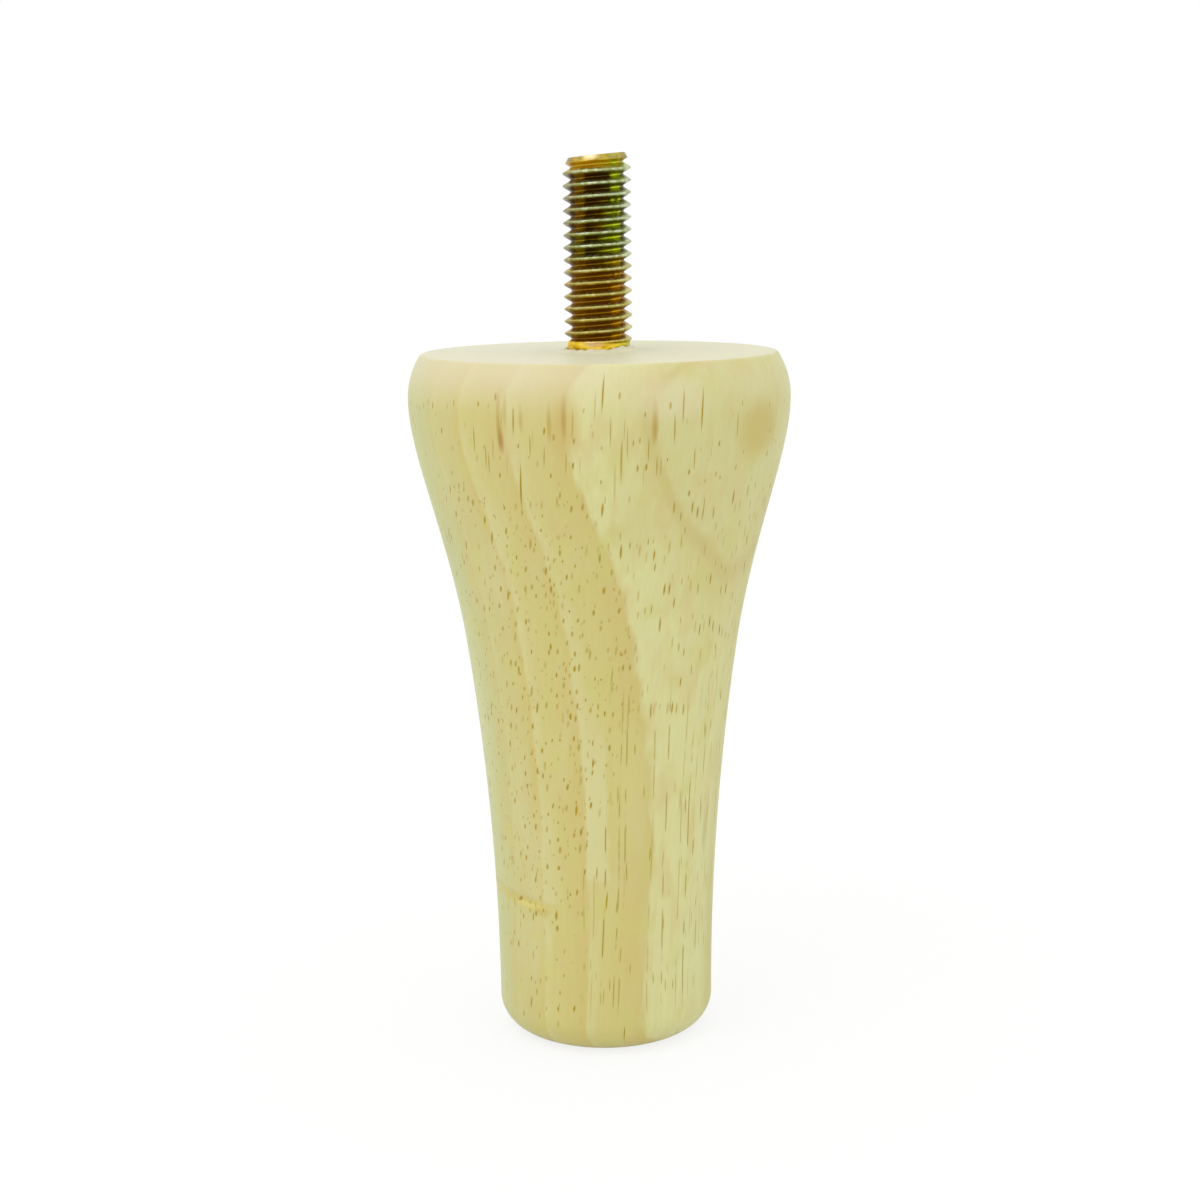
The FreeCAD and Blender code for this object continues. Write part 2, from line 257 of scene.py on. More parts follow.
def sanded_hardwood():
    """Sanded hardwood: rings about a core outside the leg, fibres, pores, the board's own marks and painted
    light.
    """
    wood = bpy.data.materials.new("sanded_hardwood")
    wood.use_nodes = True
    tree = wood.node_tree
    shader = tree.nodes["Principled BSDF"]
    place = in_millimetres(tree)
    x, y, z = split(tree, place)

    # The rings' core is a straight line behind and left of the leg, and it leans as the fibres do; a place's
    # reach is its distance from the core, and three rings are named by the reach of their inner edge
    core_at_foot = (-25.1, 13.25)
    lean = 0.0735
    ring_start = 29.45
    ring_width = 4.53
    second_ring = 34.0
    outer_ring = 38.4
    last_ring = 42.9
    upright = point(tree, sums(tree, "SUBTRACT", x, product(tree, z, lean)), y, z)
    wave_size = (7.0, 7.0, 26.0)
    waves = {"Vector": vectors(tree, "DIVIDE", upright, wave_size), "Scale": 1.0, "Detail": 2.0}
    drift = add(tree, "ShaderNodeTexNoise", waves).outputs["Color"]
    drift = vectors(tree, "SUBTRACT", drift, (0.5, 0.5, 0.5))
    wavy = vectors(tree, "ADD", upright, vectors(tree, "MULTIPLY", drift, (0.7, 0.7, 0.0)))
    from_core = vectors(tree, "SUBTRACT", wavy, (*core_at_foot, 0.0))
    smooth_reach = vectors(tree, "LENGTH", vectors(tree, "MULTIPLY", from_core, (1.0, 1.0, 0.0)))
    frayed = sums(tree, "SUBTRACT", grain_noise(tree, upright, 1.1, 4.0), 0.5)
    reach = sums(tree, "MULTIPLY_ADD", frayed, 0.8, smooth_reach)
    ring = sums(tree, "DIVIDE", sums(tree, "SUBTRACT", reach, ring_start), ring_width)
    phase = sums(tree, "FRACT", ring)

    # Each ring starts pale and darkens to its end; outer wood is paler, inner wood more even and greener
    middle_wood = ring_ramp(tree, phase, [(0.0, (206, 190, 118)), (0.09, (212, 205, 141)),
                                          (0.30, (209, 200, 129)), (1.0, (207, 191, 117))])
    outer_wood = ring_ramp(tree, phase, [(0.0, (208, 199, 132)), (0.09, (218, 215, 153)),
                                         (0.40, (218, 216, 154)), (1.0, (208, 200, 133))])
    is_outer = ease(tree, reach, outer_ring, outer_ring + 0.4)
    colour = tint(tree, is_outer, middle_wood, outer_wood)
    is_inner = product(tree, ease(tree, reach, 29.2, 28.4, 0.0, 0.65),
                       ease(tree, reach, 17.0, 21.0, 0.3, 1.0))
    colour = tint(tree, is_inner, colour, linear(204, 197, 132))
    # Painted light: a pale green cast on the left side, where the reach is short, stands for edge light
    green_cast = product(tree, ease(tree, reach, 27.0, 19.5, 0.0, 0.9),
                       ease(tree, reach, 13.0, 18.5, 0.2, 1.0))
    colour = tint(tree, green_cast, colour, linear(195, 199, 140))

    # The outermost ring is no paler than the wood before it, and a thin dark line parts the two
    past_last = ease(tree, smooth_reach, last_ring + 0.1, last_ring + 0.5, 0.0, 0.75)
    colour = tint(tree, past_last, colour, linear(207, 202, 140))
    last_line = ease(tree, off(tree, smooth_reach, last_ring), 0.45, 0.05, 0.0, 0.45)
    colour = tint(tree, last_line, colour, linear(197, 182, 112))

    # Fibres, slow clouds of tone, and warmer and yellower patches
    fibres = grain_noise(tree, upright, 0.45, 20.0, 3.0)
    colour = tint(tree, ease(tree, fibres, 0.35, 0.75, 0.0, 0.22, "LINEAR"), colour, linear(197, 180, 108))
    clouds = grain_noise(tree, upright, 6.0, 18.0)
    colour = tint(tree, ease(tree, clouds, 0.45, 0.75, 0.0, 0.35), colour, linear(214, 210, 158))
    warmth = grain_noise(tree, wavy, 2.6, 6.0)
    colour = tint(tree, ease(tree, warmth, 0.48, 0.72, 0.0, 0.45), colour, linear(209, 190, 126))
    mottle = grain_noise(tree, wavy, 3.4, 5.0)
    colour = tint(tree, ease(tree, mottle, 0.52, 0.70, 0.0, 0.45), colour, linear(204, 200, 116))

    # A darker, yellower band of painted shade runs down the right side, cloudy and soft at its edges
    turn = turn_from_front(tree, x, y)
    band_front = ease(tree, turn, math.radians(56), math.radians(76))
    band_back = ease(tree, turn, math.radians(128), math.radians(88))
    band_height = product(tree, ease(tree, z, 73.0, 66.0), ease(tree, z, 32.0, 14.0, 0.50, 0.72))
    band_clouds = ease(tree, clouds, 0.30, 0.60, 0.65, 1.15)
    band = product(tree, band_front, band_back, band_height, band_clouds)
    colour = tint(tree, band, colour, linear(196, 188, 111))

    # The board's own marks, and two painted highlights: angle, height and radius of each, its half sizes,
    # softness, strength and colour
    marks = [
        (54.0, 74.6, 22.4, (5.6, 5.6, 4.8), 0.70, 0.90, (201, 183, 104)),
        (-29.6, 76.6, 22.3, (0.42, 0.42, 4.4), 0.8, 0.80, (180, 146, 66)),
        (-29.2, 74.2, 22.2, (0.55, 0.55, 2.2), 0.8, 0.85, (174, 136, 64)),
        (-27.4, 77.4, 22.4, (0.36, 0.36, 2.6), 0.8, 0.55, (184, 152, 70)),
        (-22.5, 76.6, 22.4, (0.36, 0.36, 2.2), 0.8, 0.50, (186, 154, 70)),
        (-9.5, 76.0, 22.4, (2.4, 2.4, 5.4), 0.8, 0.75, (203, 180, 107)),
        (-14.2, 76.2, 22.4, (0.40, 0.40, 3.2), 0.8, 0.60, (184, 152, 68)),
        (-10.0, 76.8, 22.4, (0.45, 0.45, 3.6), 0.8, 0.70, (180, 146, 62)),
        (15.5, 76.0, 22.4, (0.55, 0.55, 3.8), 0.8, 0.85, (185, 151, 68)),
        (60.5, 27.5, 13.8, (0.7, 0.7, 6.5), 0.8, 0.5, (186, 166, 92)),
        (12.0, 15.0, 13.2, (2.6, 2.6, 12.0), 0.8, 0.30, (211, 193, 115)),
        (11.0, 35.0, 14.6, (3.0, 3.0, 12.0), 0.8, 0.55, (211, 204, 133)),
        (50.0, 12.0, 13.1, (3.6, 3.6, 8.0), 0.8, 0.40, (216, 220, 164)),
        (10.0, 65.0, 19.0, (3.4, 3.4, 7.0), 0.8, 0.50, (202, 192, 122)),
        # Painted highlight: paler by the rim right of the front, carrying on the rim's painted highlight
        (20.0, 78.6, 22.0, (7.5, 7.5, 3.4), 0.8, 0.45, (222, 215, 174)),
        # Painted highlight: a long pale patch down the left edge
        (-76.0, 40.0, 15.3, (6.0, 6.0, 30.0), 1.0, 0.50, (213, 214, 161)),
        (-62.0, 18.6, 13.3, (6.5, 6.5, 1.0), 0.9, 0.60, (203, 189, 100)),
        (-43.0, 18.2, 13.3, (5.6, 5.6, 1.0), 0.7, 0.60, (200, 181, 92)),
        (-41.0, 18.0, 13.3, (4.4, 4.4, 0.62), 0.8, 0.75, (219, 209, 122)),
        (-49.0, 18.5, 13.4, (0.45, 0.45, 0.4), 0.6, 0.85, (150, 112, 40)),
        (-34.0, 17.6, 13.2, (1.8, 1.8, 0.9), 0.8, 0.55, (197, 173, 86)),
    ]
    ragged = vectors(tree, "ADD", place, point(tree, 0.0, 0.0, frayed))
    for degrees, height, radius, half_sizes, soft, strength, shade in marks:
        patch = spot(tree, ragged, around(degrees, height, radius), half_sizes, soft)
        colour = tint(tree, product(tree, patch, strength), colour, linear(*shade))

    # A painted highlight from the lamp at the upper left: the rim is paler, most of all on the left
    rim = product(tree, ease(tree, z, 76.0, 82.0), ease(tree, x, 9.0, -9.0, 0.15, 0.6))
    colour = tint(tree, rim, colour, linear(226, 213, 182))

    # A pale strip fills the start of the second ring over part of its length, and ends abruptly at its foot
    strip_inner = ease(tree, reach, second_ring + 0.2, second_ring + 0.4)
    strip_outer = ease(tree, reach, second_ring + 2.2, second_ring + 1.8)
    strip_foot = ease(tree, z, 21.6, 22.4)
    strip_top = ease(tree, z, 46.0, 33.0)
    strip = product(tree, strip_inner, strip_outer, strip_foot, strip_top, 0.75)
    colour = tint(tree, strip, colour, linear(214, 209, 152))

    # Pores are laid out by arc length and height, and the back has a stretch of the pattern to itself; one
    # layout leans, and the steep one is staggered so that its lines start at different heights
    back_shift = 60.0
    dot_lean = -0.10
    line_lean = -0.04
    line_stagger = 18.0
    angle = sums(tree, "ARCTAN2", x, sums(tree, "ABSOLUTE", y))
    arc = product(tree, angle, vectors(tree, "LENGTH", point(tree, x, y)))
    arc = sums(tree, "MULTIPLY_ADD", sums(tree, "GREATER_THAN", y, 0.0), back_shift, arc)
    surface = vectors(tree, "ADD", point(tree, arc, z), vectors(tree, "MULTIPLY", drift, (1.2, 4.0, 0.0)))
    arc, height, _ = split(tree, surface)
    leaning = point(tree, sums(tree, "MULTIPLY_ADD", height, dot_lean, arc), height)
    fibre = sums(tree, "MULTIPLY_ADD", height, line_lean, arc)
    stagger = add(tree, "ShaderNodeTexNoise", {"W": fibre, "Scale": 0.8}, noise_dimensions="1D").outputs[0]
    lowered = sums(tree, "SUBTRACT", height, line_stagger / 2)
    steep = point(tree, fibre, sums(tree, "MULTIPLY_ADD", stagger, line_stagger, lowered))

    # Dots in the inner wood, larger ones along the second ring's edge, dashes in the outer wood, lines low
    # down; each kind has its layout, spacing, half width, share, heights and the zone where it shows
    past_edge = ease(tree, reach, outer_ring - 0.4, outer_ring + 0.8)
    lines_from = ease(tree, z, 34.0, 24.0, 36.2, 33.2)
    near_edge = ease(tree, reach, lines_from, sums(tree, "ADD", lines_from, 1.2))
    low_right = product(tree, near_edge, ease(tree, z, 44.0, 38.0))
    dots_here = product(tree, rest_of(tree, past_edge), rest_of(tree, low_right))
    crowd = ease(tree, grain_noise(tree, surface, 3.2, 3.2, 1.0), 0.32, 0.58, 0.30, 1.0)
    fewer_at_foot = ease(tree, z, 8.0, 22.0, 0.5, 1.0)
    fewer_at_left = ease(tree, arc, -17.0, -11.0, 0.3, 1.0)
    dots_share = product(tree, crowd, fewer_at_foot, fewer_at_left)
    shoulder_share = ease(tree, sums(tree, "ABSOLUTE", arc), 19.0, 13.0, 0.05, 0.80)
    edge_share = ease(tree, off(tree, reach, second_ring), 0.75, 0.15, 0.0, 0.70)
    kinds = [
        (leaning, (0.84, 2.4), 0.165, dots_share, (3.0, 68.0), dots_here),
        (leaning, (0.70, 1.5), 0.11, 0.25, (18.0, 68.0), dots_here),
        (leaning, (1.35, 6.4), 0.165, 0.45, (3.0, 68.0), dots_here),
        (leaning, (0.62, 2.0), 0.18, edge_share, (20.0, 60.0), 1.0),
        (leaning, (0.74, 4.8), 0.14, 0.80, (41.0, 68.0), past_edge),
        (steep, (1.00, 9.0), 0.13, 0.60, (3.0, 45.0), near_edge),
        (steep, (0.76, 14.0), 0.135, shoulder_share, (69.5, 79.5), 1.0),
        (leaning, (1.05, 3.6), 0.14, 0.50, (67.5, 79.0), 1.0),
    ]
    low_down = product(tree, near_edge, ease(tree, z, 48.0, 40.0), ease(tree, z, 3.5, 8.0))
    pore = product(tree, vessels(tree, fibre, height, 1.15, 0.115, 0.75), low_down)
    for layout, spacing, half_width, share, heights, here in kinds:
        seen = product(tree, pores(tree, layout, spacing, half_width, share, heights), here)
        pore = sums(tree, "MAXIMUM", seen, pore)
    end_depth = 0.04
    on_top = sums(tree, "GREATER_THAN", z, leg_height / MM - end_depth)
    on_end = sums(tree, "MAXIMUM", on_top, sums(tree, "LESS_THAN", z, end_depth))
    pore = product(tree, pore, rest_of(tree, on_end))
    colour = tint(tree, pore, colour, linear(170, 141, 4))

    # End grain: the flat top and the sole show the fibres' ends as specks; their paleness is a painted
    # reflection
    specks = ease(tree, grain_noise(tree, place, 0.35, 0.35), 0.5, 0.8, 0.0, 0.5)
    end_grain_and_reflection = tint(tree, specks, linear(220, 216, 188), linear(204, 190, 138))
    colour = tint(tree, product(tree, on_end, 0.85), colour, end_grain_and_reflection)
    tree.links.new(colour, shader.inputs["Base Color"])

    # Sanded surface: open pores and a trace of fibre in relief, and the soft sheen of fine sanding
    relief = sums(tree, "SUBTRACT", product(tree, fibres, 0.10), pore)
    bump = add(tree, "ShaderNodeBump", {"Strength": 0.5, "Distance": 0.08 * MM, "Height": relief})
    tree.links.new(bump.outputs[0], shader.inputs["Normal"])
    polish = grain_noise(tree, upright, 0.8, 9.0)
    tree.links.new(ease(tree, polish, 0.3, 0.7, 0.42, 0.54, "LINEAR"), shader.inputs["Roughness"])
    shader.inputs["Specular IOR Level"].default_value = 0.32
    shader.inputs["Sheen Weight"].default_value = 0.09
    shader.inputs["Sheen Roughness"].default_value = 0.35
    shader.inputs["Sheen Tint"].default_value = (0.62, 1.0, 0.78, 1.0)
    return wood


def turned_leg():
    """Turn the leg's half outline about its axis, then press in the scar and lift the hole's torn edge."""
    shoulder_radius = (rim_set_in**2 + shoulder_drop**2) / (2 * rim_set_in)
    ring_level = leg_height - shoulder_drop
    rim_rise = shoulder_drop - rim_edge
    rim_reach = math.sqrt((shoulder_radius - rim_edge) ** 2 - rim_rise**2)
    waist_level = ring_level - flare_length
    land_level = foot_edge + foot_land
    narrowing = waist_radius - foot_radius
    stem_radius = (narrowing**2 + (waist_level - land_level) ** 2) / (2 * narrowing)
    stem_turn = math.asin((waist_level - land_level) / stem_radius)
    sizes = {
        "Height": leg_height,
        "Ring radius": ring_radius,
        "Ring level": ring_level,
        "Shoulder radius": shoulder_radius,
        "Shoulder turn": math.atan2(rim_rise, rim_reach),
        "Rim edge": rim_edge,
        "Rim centre": ring_radius - shoulder_radius + rim_reach,
        "Shoulder handle": shoulder_handle,
        "Waist handle": waist_handle,
        "Waist radius": waist_radius,
        "Waist level": waist_level,
        "Stem radius": stem_radius,
        "Stem turn": stem_turn,
        "Foot radius": foot_radius,
        "Foot edge": foot_edge,
        "Land level": land_level,
        "Bore radius": bore_radius,
        "Bore level": leg_height - bore_depth,
        "Bore point": leg_height - bore_depth - drill_point,
        "Torn edge": 1.2 * MM,
    }
    tree, size = new_tree("turned_leg", sizes)

    def straight(start, end, steps=1):
        """A straight stretch of the half outline."""
        line = add(tree, "GeometryNodeCurvePrimitiveLine", {"Start": start, "End": end})
        cut = add(tree, "GeometryNodeResampleCurve", {"Curve": line.outputs[0], "Count": steps + 1})
        return cut.outputs[0]

    def rounded(centre, radius, start, sweep, steps):
        """A stretch of the half outline along an arc."""
        arc = add(tree, "GeometryNodeCurveArc", {"Resolution": steps + 1, "Radius": radius,
                                                 "Start Angle": start, "Sweep Angle": sweep})
        moved = add(tree, "GeometryNodeTransform", {"Geometry": arc.outputs[0], "Translation": centre})
        return moved.outputs[0]

    # Half outline, drawn flat with the radius across and the height up: hole, top face, side, sole
    bore_end = point(tree, 0.0, size["Bore point"])
    bore_corner = point(tree, size["Bore radius"], size["Bore level"])
    mouth = point(tree, size["Bore radius"], size["Height"])
    torn_ring = point(tree, sums(tree, "ADD", size["Bore radius"], size["Torn edge"]), size["Height"])
    rim = point(tree, size["Rim centre"], size["Height"])
    rim_centre = point(tree, size["Rim centre"], sums(tree, "SUBTRACT", size["Height"], size["Rim edge"]))
    ring = point(tree, size["Ring radius"], size["Ring level"])
    shoulder_reach = sums(tree, "SUBTRACT", size["Ring radius"], size["Shoulder radius"])
    shoulder_centre = point(tree, shoulder_reach, size["Ring level"])
    under_level = sums(tree, "SUBTRACT", size["Ring level"], size["Shoulder handle"])
    under_ring = point(tree, size["Ring radius"], under_level)
    waist = point(tree, size["Waist radius"], size["Waist level"])
    slope = sums(tree, "TANGENT", size["Stem turn"])
    over_waist = point(
        tree,
        sums(tree, "MULTIPLY_ADD", size["Waist handle"], slope, size["Waist radius"]),
        sums(tree, "ADD", size["Waist level"], size["Waist handle"]),
    )
    stem_centre = point(tree, sums(tree, "ADD", size["Foot radius"], size["Stem radius"]), size["Land level"])
    foot_top = point(tree, size["Foot radius"], size["Land level"])
    foot_side = point(tree, size["Foot radius"], size["Foot edge"])
    sole_reach = sums(tree, "SUBTRACT", size["Foot radius"], size["Foot edge"])
    foot_centre = point(tree, sole_reach, size["Foot edge"])
    quarter = math.pi / 2
    rim_sweep = sums(tree, "SUBTRACT", size["Shoulder turn"], quarter)
    flare = add(tree, "GeometryNodeCurvePrimitiveBezierSegment",
                {"Resolution": 72, "Start": ring, "Start Handle": under_ring,
                 "End Handle": over_waist, "End": waist})
    outline = [
        straight(bore_end, bore_corner),
        straight(bore_corner, mouth),
        straight(mouth, torn_ring, 6),
        straight(torn_ring, rim),
        rounded(rim_centre, size["Rim edge"], quarter, rim_sweep, 8),
        rounded(shoulder_centre, size["Shoulder radius"], size["Shoulder turn"],
                product(tree, size["Shoulder turn"], -1.0), 16),
        flare.outputs[0],
        rounded(stem_centre, size["Stem radius"], sums(tree, "SUBTRACT", math.pi, size["Stem turn"]),
                size["Stem turn"], 120),
        straight(foot_top, foot_side),
        rounded(foot_centre, size["Foot edge"], 0.0, -quarter, 16),
        straight(point(tree, sole_reach, 0.0), point(tree, 0.0, 0.0)),
    ]
    joined = add(tree, "GeometryNodeJoinGeometry")
    for stretch in reversed(outline):
        tree.links.new(stretch, joined.inputs[0])

    # The outline is carried round a small circle, which stands for the lathe's turn; that circle's own frame
    # points down, so the outline is laid over first
    lathe_radius = 5.0 * MM
    drawn = add(tree, "GeometryNodeTransform",
                {"Geometry": joined.outputs[0], "Translation": (-lathe_radius, 0.0, 0.0),
                 "Rotation": (math.pi, 0.0, 0.0)})
    lathe = add(tree, "GeometryNodeCurvePrimitiveCircle", {"Resolution": 256, "Radius": lathe_radius})
    turned = add(tree, "GeometryNodeCurveToMesh",
                 {"Curve": lathe.outputs[0], "Profile Curve": drawn.outputs[0]})
    solid = turned.outputs[0]

    # Scar: a shallow crease across the left of the stem with a low ridge under it
    where = add(tree, "GeometryNodeInputPosition").outputs[0]
    x, y, z = split(tree, where)
    turn = turn_from_front(tree, x, y)
    crease_level = 18.7 * MM
    ridge_level = 17.9 * MM
    scar_left = ease(tree, turn, math.radians(-84), math.radians(-70))
    scar_right = ease(tree, turn, math.radians(-26), math.radians(-38))
    crease = ease(tree, off(tree, z, crease_level), 0.8 * MM, 0.0, 0.0, -0.16 * MM)
    ridge = ease(tree, off(tree, z, ridge_level), 0.9 * MM, 0.0, 0.0, 0.10 * MM)
    press = product(tree, sums(tree, "ADD", crease, ridge), product(tree, scar_left, scar_right))
    outward = vectors(tree, "NORMALIZE", point(tree, x, y))
    pressed = add(tree, "ShaderNodeVectorMath", {0: outward, "Scale": press}, operation="SCALE").outputs[0]

    # Torn edge: fibres that the bolt lifted round the hole, highest at the front right
    radius = vectors(tree, "LENGTH", point(tree, x, y))
    torn_end = sums(tree, "ADD", size["Bore radius"], size["Torn edge"])
    near_hole = ease(tree, radius, torn_end, size["Bore radius"])
    on_top = sums(tree, "GREATER_THAN", z, sums(tree, "SUBTRACT", size["Height"], 0.01 * MM))
    ragged = add(tree, "ShaderNodeTexNoise", {"Vector": where, "Scale": 900.0, "Detail": 3.0}).outputs[0]
    highest_turn = math.radians(50)
    from_highest = off(tree, turn, highest_turn)
    lift = ease(tree, from_highest, math.radians(34), math.radians(12), 0.90 * MM, 1.35 * MM)
    lift = product(tree, lift, product(tree, near_hole, ragged))
    lifted = point(tree, 0.0, 0.0, product(tree, lift, on_top))
    shaped = add(tree, "GeometryNodeSetPosition",
                 {"Geometry": solid, "Offset": vectors(tree, "ADD", pressed, lifted)})
    finish_tree(tree, shaped.outputs[0], sanded_hardwood())
    return run_tree("turned_leg_visual", tree, sizes)


leg = turned_leg()
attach(leg, "root")
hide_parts("turned_leg")


# The hanger bolt
# One steel rod with a machine thread rolled on the stud, a coarse wood thread on the end in the leg, and a
# plain neck between. It is zinc plated and passivated yellow, and the stud's crests are worn bright.

bolt_low, bolt_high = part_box("hanger_bolt")
crest_radius = bolt_high[0]
neck_radius = crest_radius - 0.32 * MM
neck_middle = leg_height - 0.85 * MM


def threaded_end(tree, size, rows_a_turn, columns, turns):
    """One end of the bolt, standing up from the neck: its rows climb one pitch a turn, as the thread does."""
    rows = rows_a_turn * (turns + 2) + 1
    grid = add(tree, "GeometryNodeMeshGrid", {"Vertices X": columns + 1, "Vertices Y": rows})
    index = add(tree, "GeometryNodeInputIndex").outputs[0]
    column = sums(tree, "FLOOR", sums(tree, "DIVIDE", sums(tree, "ADD", index, 0.5), float(rows)))
    row = sums(tree, "SUBTRACT", index, product(tree, column, float(rows)))
    turn_share = sums(tree, "DIVIDE", column, float(columns))
    angle = product(tree, turn_share, 2 * math.pi)
    cosine = sums(tree, "COSINE", angle)
    sine = sums(tree, "SINE", angle)
    row_share = sums(tree, "DIVIDE", row, float(rows_a_turn))
    climb = sums(tree, "SUBTRACT", sums(tree, "ADD", row_share, turn_share), 1.0)
    rise = product(tree, climb, size["Pitch"])

    # The free end is cut a little askew: its rim is lower on one side, and the rows past it close the end
    half_slant = product(tree, size["End slant"], 0.5)
    rim_drop = product(tree, half_slant, sums(tree, "SUBTRACT", 1.0, cosine))
    rim_level = sums(tree, "SUBTRACT", size["Length"], rim_drop)
    over = sums(tree, "MAXIMUM", sums(tree, "SUBTRACT", rise, rim_level), 0.0)
    end_rings = 9.0
    past_rim = sums(tree, "DIVIDE", over, size["Pitch"])
    end_ring = sums(tree, "FLOOR", product(tree, past_rim, end_rings))
    closing = ease(tree, end_ring, 0.0, end_rings - 1.0, 1.0, 0.0, "LINEAR")
    drop = sums(tree, "SUBTRACT", 1.0, product(tree, closing, cosine))
    end_level = sums(tree, "SUBTRACT", size["Length"], product(tree, half_slant, drop))
    height = sums(tree, "MINIMUM", sums(tree, "MAXIMUM", rise, 0.0), end_level)

    # Thread form: a narrow crest, straight flanks and a narrow root, with slightly eased corners
    corner_ease = 0.15
    thread_share = sums(tree, "FRACT", sums(tree, "ADD", row_share, size["Thread start"]))
    across = sums(tree, "SUBTRACT", thread_share, 0.5)
    off_crest = sums(tree, "ABSOLUTE", across)
    crest_end = product(tree, size["Crest share"], 0.5)
    root_start = sums(tree, "SUBTRACT", 0.5, product(tree, size["Root share"], 0.5))
    flank = ease(tree, off_crest, crest_end, root_start, kind="LINEAR")
    soft_flank = ease(tree, off_crest, crest_end, root_start)
    groove = sums(tree, "MULTIPLY_ADD", sums(tree, "SUBTRACT", soft_flank, flank), corner_ease, flank)
    depth = sums(tree, "SUBTRACT", size["Crest radius"], size["Root radius"])
    thread = sums(tree, "SUBTRACT", size["Crest radius"], product(tree, depth, groove))

    # The thread rises out of the lumpy neck, and is cut off by the chamfer or the point at the free end
    thread_start = size["Neck length"]
    rising = ease(tree, height, thread_start, sums(tree, "ADD", thread_start, size["Run-out"]))
    around_rod = point(tree, cosine, sine, sums(tree, "DIVIDE", height, size["Crest radius"]))
    lumps = add(tree, "ShaderNodeTexNoise", {"Vector": around_rod, "Scale": 3.2, "Detail": 2.0}).outputs[0]
    lump = product(tree, sums(tree, "SUBTRACT", lumps, 0.5), size["Neck lumps"])
    lump = product(tree, lump, ease(tree, height, 0.0, 0.5 * MM))
    neck = sums(tree, "ADD", size["Neck radius"], lump)
    body = sums(tree, "MULTIPLY_ADD", sums(tree, "SUBTRACT", thread, neck), rising, neck)
    to_end = sums(tree, "SUBTRACT", rim_level, height)
    narrowing = sums(tree, "SUBTRACT", size["Crest radius"], size["End radius"])
    widening = sums(tree, "DIVIDE", narrowing, size["Taper length"])
    cone = sums(tree, "MULTIPLY_ADD", to_end, widening, size["End radius"])
    radius = product(tree, sums(tree, "MINIMUM", body, cone), closing)

    on_rod = point(tree, product(tree, radius, cosine), product(tree, radius, sine), height)
    geometry = grid.outputs[0]
    noted = {"groove": product(tree, groove, rising), "flank": across, "threaded": rising}
    for name, value in noted.items():
        stored = {"Geometry": geometry, "Name": name, "Value": value}
        node = add(tree, "GeometryNodeStoreNamedAttribute", stored, data_type="FLOAT", domain="POINT")
        geometry = node.outputs[0]
    return add(tree, "GeometryNodeSetPosition", {"Geometry": geometry, "Position": on_rod}).outputs[0]


